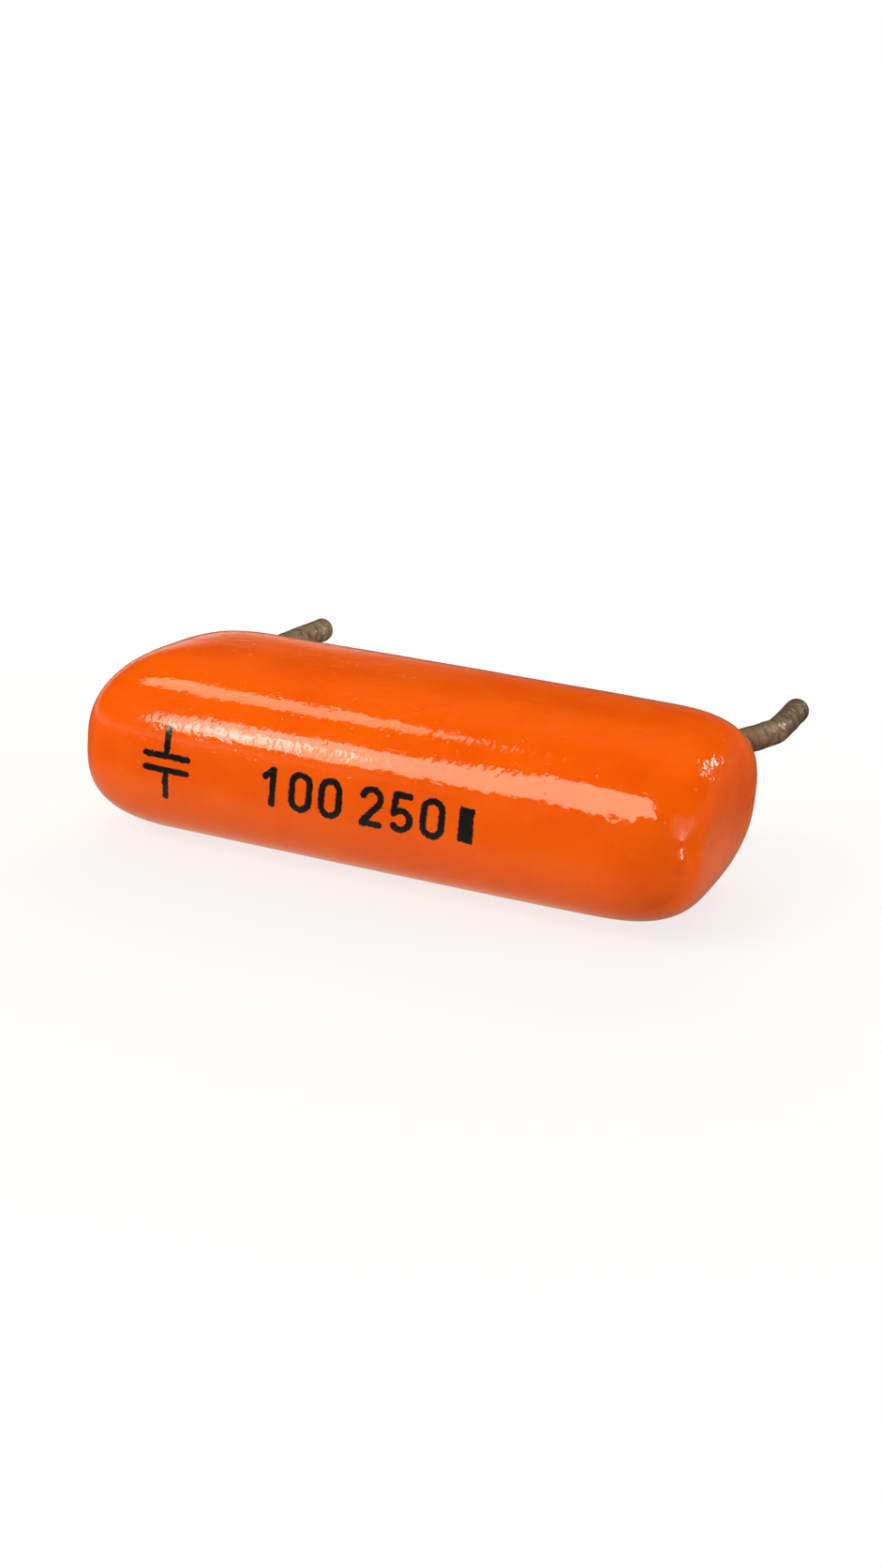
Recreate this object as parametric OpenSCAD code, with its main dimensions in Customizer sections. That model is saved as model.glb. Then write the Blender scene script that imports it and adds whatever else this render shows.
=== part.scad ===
// Film capacitor with a dipped coating and two radial leads, lying on its broad side.
// Millimetres. +X runs along the body, +Y is the way the leads leave, +Z is up.
// The origin is the middle of the flat that the body lies on.

/* [Body] */
// Length of the coated body along X
body_l = 16.3; // [15:0.1:20]
// Depth of the coated body along Y, from the front edge to the lead edge
body_w = 8.4; // [7.4:0.1:11]
// Height of the coated body above the surface it lies on
body_h = 4.7; // [4.3:0.1:6.5]
// Fullness of the cross section, where 2 is an ellipse
section_power = 2.93; // [2.6:0.01:3.6]
// Share by which the middle of the body is fuller than its ends
belly = 0.012; // [0:0.002:0.03]
// Depth of the flat that the underside lies on
seat_cut = 0.03; // [0.02:0.01:0.1]

/* [End rounding] */
// Length over which each end rounds off
end_round_l = 2.85; // [2.4:0.05:3.2]
// How far the faces draw in at each end
end_round_in = 1.85; // [1.4:0.05:1.95]
// Fullness of the end rounding, where 2 is an ellipse
end_power = 3.1; // [2.6:0.1:3.6]

/* [Coating] */
// Thickness of the coating over the broad faces
coat_t = 0.5; // [0.4:0.05:0.7]
// Thickness of the coating over the front and lead edges
edge_t = 0.6; // [0.5:0.05:0.9]
// Thickness of the coating over the leads at each end
cap_t = 0.7; // [0.5:0.05:1]
// How far the coating creeps out along each lead
creep_l = 0.25; // [0.1:0.05:0.6]
// Thickness of the coating at the foot of that creep
creep_foot_t = 0.3; // [0.2:0.05:0.4]
// Thickness of the coating where it stops on the lead
creep_tip_t = 0.04; // [0.03:0.01:0.08]

/* [Winding] */
// Thickness of the sprayed metal at each end of the winding
contact_t = 0.4; // [0.3:0.05:0.7]
// Distance from one modelled turn of film to the next
turn_pitch = 0.5; // [0.3:0.05:0.8]
// Width of a turn's raised edge at the end of the winding
turn_edge_w = 0.22; // [0.1:0.02:0.26]
// How far a turn's edge stands into the sprayed metal
turn_edge_h = 0.12; // [0.06:0.02:0.2]

/* [Leads] */
// Diameter of the tinned wire
lead_d = 0.72; // [0.6:0.02:0.9]
// Distance between the straight ends of the leads
lead_pitch = 15.24; // [14:0.02:17]
// Height of the leads above the middle of the body
lead_rise = 0.67; // [0:0.01:0.9]
// Distance from the lead edge of the body to the first bend
lead_start_l = 1.35; // [0.8:0.05:4]
// Length of the straight end beyond the bends
lead_end_l = 2.9; // [2:0.1:20]
// Radius of each bend, at the middle of the wire
bend_r = 1; // [0.8:0.1:2]
// Steepest angle at which a lead slants outwards
slant_a = 17; // [12:1:60]
// Width of the bevel round the cut tip
tip_bevel = 0.08; // [0.04:0.01:0.15]
// Distance from the wire's inner end to the edge of the winding
lead_inset = 0.7; // [0.4:0.1:1.5]

/* [Solder] */
// Length of each solder joint along the wire
solder_l = 4; // [2.5:0.1:5]
// Width of each solder joint across the wire
solder_w = 1.4; // [1.2:0.05:1.8]
// Thickness of the solder between the wire and the sprayed metal
solder_film = 0.05; // [0.02:0.01:0.1]

/* [Hidden] */

$fn = 48;
RIGHT = 1;
LEFT = -1;
SECTION_STEPS = 64;
END_STEPS = 13;
MIDDLE_STEPS = 4;
OVERSIZE = 2;

// The section is a little taller than the body, because the seat cuts its underside
section_h = body_h + seat_cut;
middle_z = section_h / 2 - seat_cut;

// Places along X, from the outside of the coating inwards
lead_r = lead_d / 2;
lead_x = body_l / 2 - cap_t - lead_r;
contact_x = lead_x - lead_r - solder_film;
winding_x = contact_x - contact_t;

// The winding fills the coating
winding_w = body_w - 2 * edge_t;
winding_h = body_h - 2 * coat_t;
turn_count = floor((winding_h / 2 - turn_edge_w - 0.05) / turn_pitch) + 1;

// The two bends carry the wire from the winding's end to the lead pitch
lead_z = middle_z + lead_rise;
jog = lead_pitch / 2 - lead_x;
full_bend = 2 * bend_r * (1 - cos(slant_a));
bend_a = abs(jog) >= full_bend ? slant_a : acos(1 - abs(jog) / (2 * bend_r));
slant_l = bend_a > 0 ? (abs(jog) - 2 * bend_r * (1 - cos(bend_a))) / sin(bend_a) : 0;
bend_y = body_w / 2 + lead_start_l;
inner_end_y = -(winding_w / 2 - lead_inset);
solder_y = inner_end_y + solder_l / 2;

// The creep is a cone from inside the body to a waist, then a slimmer one along the lead
creep_foot_r = lead_r + creep_foot_t;
creep_waist_r = lead_r + 0.4 * creep_foot_t;
creep_foot_y = body_w / 2 - end_round_in / 2;
creep_waist_y = body_w / 2 - 0.15;
creep_tip_y = body_w / 2 + creep_l;

// A power that keeps the sign of its base
function signed_pow(v, p) = sign(v) * pow(abs(v), p);

// Stations of the right end as [x, draw in], from where the rounding starts to the tip
function end_stations() = [
    for (i = [0 : END_STEPS])
        let (t = 90 * i / END_STEPS)
        [
            body_l / 2 - end_round_l * (1 - pow(sin(t), 2 / end_power)),
            end_round_in * (1 - pow(cos(t), 2 / end_power))
        ]
];

// Stations of the whole body from left to right
function body_stations() =
    let (ends = end_stations(), straight = ends[0][0])
    concat(
        [for (i = [END_STEPS : -1 : 0]) [-ends[i][0], ends[i][1]]],
        [for (i = [1 : MIDDLE_STEPS - 1]) [straight * (2 * i / MIDDLE_STEPS - 1), 0]],
        ends
    );

// One cross section: a superellipse, drawn in and slimmed away from the middle
function section_points(station) =
    let (
        x = station[0],
        slim = 1 - belly * pow(2 * x / body_l, 2),
        half_w = body_w / 2 * slim - station[1],
        half_h = section_h / 2 * slim - station[1]
    )
    [
        for (i = [0 : SECTION_STEPS - 1])
            let (a = 360 * i / SECTION_STEPS)
            [
                x,
                half_w * signed_pow(cos(a), 2 / section_power),
                half_h * signed_pow(sin(a), 2 / section_power)
            ]
    ];

// Closed skin lofted through sections that all have the same number of points
module loft(sections) {
    count = len(sections[0]);
    last = len(sections) - 1;
    points = [for (s = sections, p = s) p];
    sides = [
        for (r = [0 : last - 1], i = [0 : count - 1])
            let (
                j = (i + 1) % count,
                a = r * count + i,
                b = r * count + j,
                c = (r + 1) * count + j,
                d = (r + 1) * count + i
            )
            each [[a, d, c], [a, c, b]]
    ];
    near_cap = [[for (i = [0 : count - 1]) i]];
    far_cap = [[for (i = [count - 1 : -1 : 0]) last * count + i]];
    polyhedron(points, concat(near_cap, sides, far_cap), convexity = 4);
}

// Pillow shape of the dipped body, about its own middle
module pillow() {
    loft([for (s = body_stations()) section_points(s)]);
}

// Outline of the flattened winding, inset all round
module stadium(inset = 0) {
    h = winding_h - 2 * inset;
    run = winding_w - winding_h;
    square([run, h], center = true);
    for (side = [LEFT, RIGHT])
        translate([side * run / 2, 0])
            circle(d = h);
}

// Stands a child drawn in Y and Z on the plane at x, pushed out to the right by t
module plate(x, t) {
    translate([x, 0, middle_z])
        rotate([90, 0, 90])
            linear_extrude(height = t)
                children();
}

// Raised edges of the film's turns on the right end of the winding
module turn_edges() {
    plate(winding_x, turn_edge_h)
        for (k = [0 : turn_count - 1])
            difference() {
                stadium(k * turn_pitch);
                stadium(k * turn_pitch + turn_edge_w);
            }
}

module side_of(side) {
    if (side == LEFT)
        mirror([1, 0, 0])
            children();
    else
        children();
}

// Half a turn about +Y, which swaps the sides of anything that lies flat
module half_turn(wanted) {
    rotate([0, wanted ? 180 : 0, 0])
        children();
}

// Straight wire along +Y from one y to another
module wire_y(x, from_y, to_y) {
    translate([x, from_y, 0])
        rotate([-90, 0, 0])
            cylinder(d = lead_d, h = to_y - from_y);
}

// Bend of the wire that starts at the origin along +Y and turns towards +X
module wire_bend() {
    translate([bend_r, 0, 0])
        rotate([0, 0, 180 - bend_a])
            rotate_extrude(angle = bend_a)
                translate([bend_r, 0])
                    circle(d = lead_d);
}

// Puts a child where a bend ends
module past_bend() {
    translate([bend_r, 0, 0])
        rotate([0, 0, -bend_a])
            translate([-bend_r, 0, 0])
                children();
}

// The S of two opposite bends with a slant between them, starting along +Y.
// Its children stand where it ends, at the lead pitch.
module wire_jog() {
    wire_bend();
    past_bend() {
        wire_y(0, 0, slant_l);
        translate([0, slant_l, 0])
            half_turn(true) {
                wire_bend();
                past_bend()
                    children();
            }
    }
}

// Straight end of the wire along +Y, with the small bevel of its cut tip
module wire_end() {
    wire_y(0, 0, lead_end_l - tip_bevel);
    translate([0, lead_end_l - tip_bevel, 0])
        rotate([-90, 0, 0])
            cylinder(r1 = lead_r, r2 = lead_r - tip_bevel, h = tip_bevel);
}

// The wire as far as its first bend, at the height of the leads
module rooted_wire() {
    wire_y(lead_x, inner_end_y, bend_y);
}

module lead(side) {
    translate([0, 0, lead_z])
        half_turn(side == LEFT) {
            rooted_wire();
            translate([lead_x, bend_y, 0])
                half_turn(jog < 0)
                    wire_jog()
                        wire_end();
        }
}

// Mound of solder on the sprayed metal, before the wire is let in
module solder_mound() {
    r = solder_w / 2;
    run = solder_l - solder_w;
    intersection() {
        translate([contact_x, solder_y, lead_z]) {
            rotate([90, 0, 0])
                cylinder(r = r, h = run, center = true);
            for (end = [-1, 1])
                translate([0, end * run / 2, 0])
                    sphere(r = r);
        }
        translate([contact_x, -body_w / 2, 0])
            cube([solder_w, body_w, body_h]);
    }
}

module solder_joint(side) {
    side_of(side)
        difference() {
            solder_mound();
            translate([0, 0, lead_z])
                rooted_wire();
        }
}

module end_contact(side) {
    side_of(side)
        difference() {
            plate(winding_x, contact_t)
                stadium();
            turn_edges();
        }
}

// Coating that has crept out along the right lead
module creep() {
    translate([lead_x, 0, lead_z])
        rotate([-90, 0, 0]) {
            translate([0, 0, creep_foot_y])
                cylinder(r1 = creep_foot_r, r2 = creep_waist_r, h = creep_waist_y - creep_foot_y);
            translate([0, 0, creep_waist_y])
                cylinder(r1 = creep_waist_r, r2 = lead_r + creep_tip_t, h = creep_tip_y - creep_waist_y);
        }
}

// Everything that the coating was dipped over
module dipped_core() {
    plate(-contact_x, 2 * contact_x)
        stadium();
    for (side = [LEFT, RIGHT])
        side_of(side) {
            solder_mound();
            translate([0, 0, lead_z])
                rooted_wire();
        }
}

module coating() {
    color("#f26a1b")
        difference() {
            union() {
                translate([0, 0, middle_z])
                    pillow();
                side_of(LEFT)
                    creep();
                side_of(RIGHT)
                    creep();
            }
            translate([-body_l / 2, -body_w / 2, -OVERSIZE])
                cube([body_l, body_w, OVERSIZE]);
            dipped_core();
        }
}

module film_winding() {
    color("#c9ccd1") {
        plate(-winding_x, 2 * winding_x)
            stadium();
        side_of(LEFT)
            turn_edges();
        side_of(RIGHT)
            turn_edges();
    }
}

module end_contact_left() {
    color("#9a9c9e") end_contact(LEFT);
}

module end_contact_right() {
    color("#9a9c9e") end_contact(RIGHT);
}

module solder_joint_left() {
    color("#b9bcc0") solder_joint(LEFT);
}

module solder_joint_right() {
    color("#b9bcc0") solder_joint(RIGHT);
}

module lead_left() {
    color("#7d7566") lead(LEFT);
}

module lead_right() {
    color("#7d7566") lead(RIGHT);
}

coating();
film_winding();
end_contact_left();
end_contact_right();
solder_joint_left();
solder_joint_right();
lead_left();
lead_right();
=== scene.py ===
"""The look of a dipped film capacitor: its lacquer, print, leads, inner parts and stage."""

import math

import bpy
from bpy.props import FloatProperty, FloatVectorProperty, IntProperty, PointerProperty
from mathutils import Matrix, Quaternion, Vector, noise


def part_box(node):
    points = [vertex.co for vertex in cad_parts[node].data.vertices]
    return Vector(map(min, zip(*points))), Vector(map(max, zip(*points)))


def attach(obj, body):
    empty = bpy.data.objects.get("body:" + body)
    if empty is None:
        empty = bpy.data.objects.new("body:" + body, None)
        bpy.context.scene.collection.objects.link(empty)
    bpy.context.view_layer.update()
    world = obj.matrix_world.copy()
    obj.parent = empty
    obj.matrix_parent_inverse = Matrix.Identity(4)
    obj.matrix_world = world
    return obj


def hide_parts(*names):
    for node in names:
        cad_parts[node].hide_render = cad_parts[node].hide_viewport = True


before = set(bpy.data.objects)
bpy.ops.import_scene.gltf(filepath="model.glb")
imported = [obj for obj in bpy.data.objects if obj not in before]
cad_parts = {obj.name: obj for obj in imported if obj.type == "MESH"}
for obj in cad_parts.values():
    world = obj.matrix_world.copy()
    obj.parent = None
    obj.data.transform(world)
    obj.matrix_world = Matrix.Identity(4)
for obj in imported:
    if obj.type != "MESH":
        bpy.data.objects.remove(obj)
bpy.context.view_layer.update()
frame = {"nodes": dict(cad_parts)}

bl_info = {
    "name": "Film Capacitor",
    "version": (1, 0, 0),
    "blender": (4, 5, 0),
    "location": "View3D > Sidebar > Capacitor",
    "description": "Makes the coating, print, leads and inner parts of a film capacitor, and the stage it lies on",
    "category": "Object",
}

MM = 0.001
BODY = "root"
RIGHT = 1
LEFT = -1
SIDE_NAMES = {LEFT: "left", RIGHT: "right"}

COATING_LOW, COATING_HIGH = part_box("coating")
WIRE_LOW, WIRE_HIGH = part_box("lead_right")

# The body's and the wire's places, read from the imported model
BODY_HALF_LENGTH = COATING_HIGH.x
BODY_HALF_DEPTH = -COATING_LOW.y
BODY_TOP = COATING_HIGH.z
CREEP_TIP = COATING_HIGH.y
WIRE_RADIUS = (WIRE_HIGH.z - WIRE_LOW.z) / 2
WIRE_HEIGHT = (WIRE_HIGH.z + WIRE_LOW.z) / 2
WIRE_ROOT_X = WIRE_LOW.x + WIRE_RADIUS
WIRE_END_X = WIRE_HIGH.x - WIRE_RADIUS
WIRE_INNER_END = WIRE_LOW.y
WIRE_TIP = WIRE_HIGH.y

# Depth of the flat underneath, and the height of the section's middle, both in millimetres
SEAT_CUT = 0.03
MIDDLE_HEIGHT = (BODY_TOP / MM - SEAT_CUT) / 2

# Two places closer than this, in metres, are one place
CLOSE = 1e-7


def linear(red, green, blue):
    """A colour of 0 to 255 steps, as it is written for a screen, in the scene's linear light."""
    steps = [c / 255 for c in (red, green, blue)]
    return tuple(c / 12.92 if c <= 0.04045 else ((c + 0.055) / 1.055) ** 2.4 for c in steps)


def length(name, description, millimetres):
    """A size that the sidebar shows as a length."""
    return FloatProperty(
        name=name,
        description=description,
        default=millimetres * MM,
        min=0,
        subtype="DISTANCE",
        unit="LENGTH",
        precision=6,
    )


def colour(name, description, value):
    """A colour that the sidebar shows with its picker."""
    return FloatVectorProperty(
        name=name, description=description, default=value, min=0, max=1, size=3, subtype="COLOR"
    )


def share(name, description, value):
    """A plain share from none to all."""
    return FloatProperty(name=name, description=description, default=value, min=0, max=1, subtype="FACTOR")


def angle(name, description, degrees):
    """An angle, which the sidebar shows in degrees."""
    return FloatProperty(
        name=name, description=description, default=math.radians(degrees), subtype="ANGLE", unit="ROTATION"
    )


def number(name, description, value):
    """A number above nothing, with no unit."""
    return FloatProperty(name=name, description=description, default=value, min=0, precision=4)


class CoatingSettings(bpy.types.PropertyGroup):
    """Form and finish of the dipped lacquer."""

    fullness: number("Section Fullness", "Fullness of the cross section, where 2 is an ellipse", 2.93)
    belly: share("Belly", "Share by which the middle of the body is fuller than its ends", 0.012)
    end_length: length("End Rounding Length", "Length over which each end rounds off", 2.85)
    end_depth: length("End Rounding Depth", "How far the faces draw in at each end", 1.85)
    end_fullness: number("End Fullness", "Fullness of the end rounding, where 2 is an ellipse", 3.1)
    seat_cut: length("Seat Cut", "Depth of the flat that the underside lies on", SEAT_CUT)
    around: IntProperty(name="Points Around", description="Points round each section", default=128, min=32)
    end_rings: IntProperty(name="End Rings", description="Sections in each rounded end", default=24, min=6)
    middle_rings: IntProperty(name="Middle Rings", description="Sections between the ends", default=26, min=2)
    uneven_height: length("Unevenness", "How far the dipped surface swells and sinks", 0.03)
    uneven_length: length("Unevenness Length", "Distance from one swell to the next", 2.6)
    collar_radius: length("Collar Radius", "Radius at which the creep round a lead begins", 0.74)
    lacquer: colour("Lacquer", "Colour of the lacquer", linear(243, 95, 4))
    lacquer_deep: colour("Thick Lacquer", "Colour where the lacquer has run together", linear(237, 87, 3))
    ink: colour("Ink", "Colour of the printed marks", linear(22, 20, 19))


class LeadSettings(bpy.types.PropertyGroup):
    """Form and finish of the wires."""

    bend_radius: length("Bend Radius", "Radius of each bend, at the middle of the wire", 1.0)
    first_bend: length("First Bend", "Distance from the lead edge of the body to the first bend", 1.35)
    slant: angle("Slant", "Angle at which the wire runs outwards between its bends", 17)
    tip_bevel: length("Tip Bevel", "Width of the bevel round the cut tip", 0.08)
    around: IntProperty(name="Points Around", description="Points round the wire", default=40, min=12)
    dent_height: length("Dents", "How far the wire's surface swells and sinks", 0.022)
    dent_length: length("Dent Length", "Distance from one dent to the next", 0.7)
    tin: colour("Tin", "Colour of the dull tinned surface", linear(152, 136, 112))
    # Darkened to 0.35, this colour is also the painted shade along the wires' outlines
    oxide: colour("Oxide", "Colour where the tin has gone dark", linear(90, 76, 58))
    copper: colour("Copper", "Colour of copper where the tin is worn", linear(172, 98, 70))


class InnerSettings(bpy.types.PropertyGroup):
    """Finish of the parts inside the coating."""

    film: colour("Film", "Colour of the metallised film", linear(178, 182, 190))
    film_gap: colour("Film Edge", "Colour between two turns of film", linear(104, 104, 116))
    film_pitch: length("Film Pitch", "Distance from one visible turn to the next", 0.06)
    spray: colour("Sprayed Metal", "Colour of the sprayed metal at the ends", linear(146, 146, 142))
    solder: colour("Solder", "Colour of the solder", linear(196, 198, 200))


class StageSettings(bpy.types.PropertyGroup):
    """Camera, floor and light."""

    camera_place: FloatVectorProperty(
        name="Camera Place",
        description="Where the camera stands",
        default=(17.224 * MM, -47.126 * MM, 16.460 * MM),
        size=3,
        subtype="TRANSLATION",
        unit="LENGTH",
    )
    camera_azimuth: angle("Camera Azimuth", "Way the camera looks, turned about the vertical", 19.52)
    camera_elevation: angle("Camera Elevation", "How steeply the camera looks down", 16.20)
    camera_roll: angle("Camera Roll", "Turn of the camera about its own line of sight", -5.30)
    camera_lens: FloatProperty(
        name="Lens", description="Focal length for a 36 mm long side", default=46.23, min=1, unit="CAMERA"
    )
    floor_radius: length("Floor Radius", "Radius of the floor", 450)
    floor_tone: share("Floor Tone", "How pale the floor is", 0.45)
    shadow_radius: length("Shadow Radius", "How far from the body the floor keeps its shadow", 26)
    shadow_share: share("Shadow", "How much of the shadow on the floor is kept", 0.24)
    paper_tone: share("Paper Tone", "How pale the floor is to the camera, where its shadow is kept", 0.8)
    gloss_floor: share("Floor in Gloss", "How bright the floor near the body is in the gloss of the object", 0.45)
    floor_glow: share("Floor Glow", "How much light comes back from the floor right under the body", 1.0)
    fill: share("Fill", "Brightness of the light from all round", 0.37)
    side_glow: FloatProperty(
        name="Side Glow", description="Brightness of the soft glow at the right in the gloss", default=1.6, min=0
    )
    left_fill: share("Left Fill", "Brightness of the light that is added from the left", 0.48)


GROUPS = {
    "capacitor_coating": CoatingSettings,
    "capacitor_leads": LeadSettings,
    "capacitor_inside": InnerSettings,
    "capacitor_stage": StageSettings,
}


# Shader maths


def pick(sockets, key):
    """The socket at an index, or with that identifier or name."""
    if isinstance(key, int):
        return sockets[key]
    named = [s for s in sockets if s.identifier == key] or [s for s in sockets if s.name == key and s.enabled]
    if not named:
        raise KeyError(f"no socket named {key}")
    return named[0]


class Wire:
    """One output of a node. Arithmetic on it adds Math nodes."""

    def __init__(self, sheet, node, output=0):
        self.sheet = sheet
        self.node = node
        self.socket = pick(node.outputs, output) if node.outputs else None

    def out(self, output):
        """Another output of the same node."""
        return Wire(self.sheet, self.node, output)

    def _math(self, operation, first, second=None, clamp=False):
        values = {0: first} if second is None else {0: first, 1: second}
        return self.sheet.add("ShaderNodeMath", {"operation": operation, "use_clamp": clamp}, values)

    def __add__(self, other):
        return self._math("ADD", self, other)

    def __radd__(self, other):
        return self._math("ADD", other, self)

    def __sub__(self, other):
        return self._math("SUBTRACT", self, other)

    def __rsub__(self, other):
        return self._math("SUBTRACT", other, self)

    def __mul__(self, other):
        return self._math("MULTIPLY", self, other)

    def __rmul__(self, other):
        return self._math("MULTIPLY", other, self)

    def __abs__(self):
        return self._math("ABSOLUTE", self)

    def least(self, other):
        """The smaller of two values."""
        return self._math("MINIMUM", self, other)

    def most(self, other):
        """The larger of two values."""
        return self._math("MAXIMUM", self, other)

    def held(self):
        """The value kept between 0 and 1."""
        return self._math("MULTIPLY", self, 1, clamp=True)

    def sine(self):
        return self._math("SINE", self)

    def cosine(self):
        return self._math("COSINE", self)

    def step(self, low, high, from_value=0, to_value=1):
        """A smooth step from one value to another while this one goes from low to high."""
        return self.sheet.add(
            "ShaderNodeMapRange",
            {"interpolation_type": "SMOOTHSTEP"},
            {"Value": self, "From Min": low, "From Max": high, "To Min": from_value, "To Max": to_value},
        )


class Sheet:
    """The node tree of one finish."""

    def __init__(self, tree):
        self.tree = tree
        tree.nodes.clear()

    def add(self, kind, settings=None, inputs=None, output=0):
        """Adds a node of that type, with its settings, and values or links on its sockets."""
        node = self.tree.nodes.new(kind)
        for name, value in (settings or {}).items():
            setattr(node, name, value)
        for key, value in (inputs or {}).items():
            socket = pick(node.inputs, key)
            if isinstance(value, Wire):
                self.tree.links.new(value.socket, socket)
            elif socket.type == "RGBA":
                socket.default_value = (*value[:3], 1)
            else:
                socket.default_value = value
        return Wire(self, node, output)

    def place(self):
        """The place on the object, in millimetres."""
        where = self.add("ShaderNodeTexCoord", output="Object")
        return self.vector("MULTIPLY", where, (1 / MM,) * 3)

    def vector(self, operation, first, second=None, output=0):
        """A Vector Math node on one or two places."""
        values = {0: first} if second is None else {0: first, 1: second}
        return self.add("ShaderNodeVectorMath", {"operation": operation}, values, output)

    def stretched(self, place, factors):
        """The same place with each axis scaled, where a factor under one draws a pattern out."""
        return self.vector("MULTIPLY", place, factors)

    def length_of(self, place):
        """How far a place is from zero."""
        return self.vector("LENGTH", place, output="Value")

    def away(self, place, centre):
        """How far a place is from another."""
        return self.vector("DISTANCE", place, centre, output="Value")

    def parts(self, place):
        """The X, Y and Z of a place."""
        split = self.add("ShaderNodeSeparateXYZ", {}, {0: place})
        return split, split.out("Y"), split.out("Z")

    def cloud(self, place, size, detail=2.0, roughness=0.5, distortion=0.0):
        """Soft noise from 0 to 1, whose lumps are that many millimetres across."""
        return self.add(
            "ShaderNodeTexNoise",
            {"noise_dimensions": "3D"},
            {"Vector": place, "Scale": 1 / size, "Detail": detail, "Roughness": roughness, "Distortion": distortion},
        )

    def spots(self, place, size):
        """Distance, in cells, to the nearest middle of cells of that size."""
        return self.add("ShaderNodeTexVoronoi", {"feature": "F1"}, {"Vector": place, "Scale": 1 / size})

    def mix(self, factor, first, second):
        """One colour turning into another."""
        return self.add(
            "ShaderNodeMix",
            {"data_type": "RGBA"},
            {"Factor_Float": factor, "A_Color": first, "B_Color": second},
            "Result_Color",
        )

    def relief(self, height):
        """A bump whose height is in millimetres."""
        return self.add("ShaderNodeBump", {}, {"Strength": 1.0, "Distance": MM, "Height": height})


def finish_named(name, **sockets):
    """A new material, its sheet, and a Principled shader on its output with those plain values."""
    material = bpy.data.materials.new(name)
    material.use_nodes = True
    sheet = Sheet(material.node_tree)
    shader = sheet.add("ShaderNodeBsdfPrincipled", {}, sockets)
    sheet.add("ShaderNodeOutputMaterial", {}, {"Surface": shader})
    return material, sheet, shader.node


def feed(sheet, node, **wires):
    """Links wires to a node's sockets, whose names are written with underscores."""
    for name, wire in wires.items():
        sheet.tree.links.new(wire.socket, pick(node.inputs, name.replace("_", " ")))


# Marks on the front, in millimetres across and up from the middle of the body

PEN_RADIUS = 0.085
PEN_EDGE = (PEN_RADIUS - 0.012, PEN_RADIUS + 0.016)
DIGIT_HALF_WIDTH = 0.23
DIGIT_HALF_HEIGHT = 0.43
VALUE_MARK = "100250"
VALUE_MARK_PLACES = (-2.37, -1.58, -0.79, 0.29, 1.08, 1.87)
BAR_PLACE = 2.72
BAR_HALF_SIZES = (0.19, 0.435)
SYMBOL_PLACE = (-5.27, 0.06)
SYMBOL_PLATE_HALF = 0.58
SYMBOL_PLATE_GAP = 0.18
SYMBOL_STUB_END = 0.86

# The print lies on the front edge alone: it fades out between these places along Y
PRINT_FADE = (-2.6, -2.4)


class Pen:
    """Draws strokes as distances, in millimetres, from a place on the front of the body."""

    def __init__(self, sheet, place):
        self.sheet = sheet
        self.place = place
        self.nearest = None

    def _keep(self, distance):
        self.nearest = distance if self.nearest is None else self.nearest.least(distance)

    def _line(self, start, end):
        run = Vector((end[0] - start[0], 0, end[1] - start[1]))
        offset = self.sheet.vector("SUBTRACT", self.place, (start[0], 0, start[1]))
        along = self.sheet.vector("DOT_PRODUCT", offset, tuple(run / run.length_squared), "Value").held()
        foot = self.sheet.add("ShaderNodeVectorMath", {"operation": "SCALE"}, {0: tuple(run), "Scale": along})
        return self.sheet.away(offset, foot)

    def line(self, start, end):
        """A straight stroke."""
        self._keep(self._line(start, end))

    def oval(self, centre, half_width, half_height):
        """A stroke round a tall oval with straight sides."""
        rise = half_height - half_width
        spine = self._line((centre[0], centre[1] - rise), (centre[0], centre[1] + rise))
        self._keep(abs(spine - half_width))

    def arc(self, centre, radius, middle, half):
        """A stroke round a part of a circle, which reaches half an angle to each side of its middle."""
        offset = self.sheet.vector("SUBTRACT", self.place, (centre[0], 0, centre[1]))
        across, _, up = self.sheet.parts(offset)
        turn = self.sheet.add("ShaderNodeMath", {"operation": "ARCTAN2"}, {0: up, 1: across}) - math.radians(middle)
        turn = self.sheet.add("ShaderNodeMath", {"operation": "WRAP"}, {0: turn, 1: math.pi, 2: -math.pi})
        turn = turn.least(math.radians(half)).most(-math.radians(half)) + math.radians(middle)
        foot = self.sheet.add(
            "ShaderNodeCombineXYZ", {}, {"X": turn.cosine() * radius, "Z": turn.sine() * radius}
        )
        self._keep(self.sheet.away(offset, foot))

    def block(self, centre, half_width, half_height):
        """A filled rectangle."""
        across, _, up = self.sheet.parts(self.sheet.vector("SUBTRACT", self.place, (centre[0], 0, centre[1])))
        self._keep((abs(across) - half_width).most(abs(up) - half_height) + PEN_RADIUS)

    def digit(self, figure, x):
        """One of the figures of the value mark, drawn in millimetres from its middle."""
        wide, tall = DIGIT_HALF_WIDTH, DIGIT_HALF_HEIGHT
        if figure == "0":
            self.oval((x, 0), wide, tall)
        elif figure == "1":
            self.line((x + 0.04, -tall), (x + 0.04, tall))
            self.line((x + 0.04, tall), (x - 0.17, tall - 0.19))
        elif figure == "2":
            knee = math.radians(-35)
            self.arc((x, tall - wide), wide, 65, 100)
            self.line((x + wide * math.cos(knee), tall - wide + wide * math.sin(knee)), (x - wide, -tall))
            self.line((x - wide, -tall), (x + wide, -tall))
        elif figure == "5":
            self.line((x + 0.19, tall), (x - 0.17, tall))
            self.line((x - 0.17, tall), (x - 0.2, -0.03))
            self.arc((x - 0.02, 0.235 - tall), 0.235, 0, 140)
        else:
            raise ValueError(f"no figure {figure}")


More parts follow.
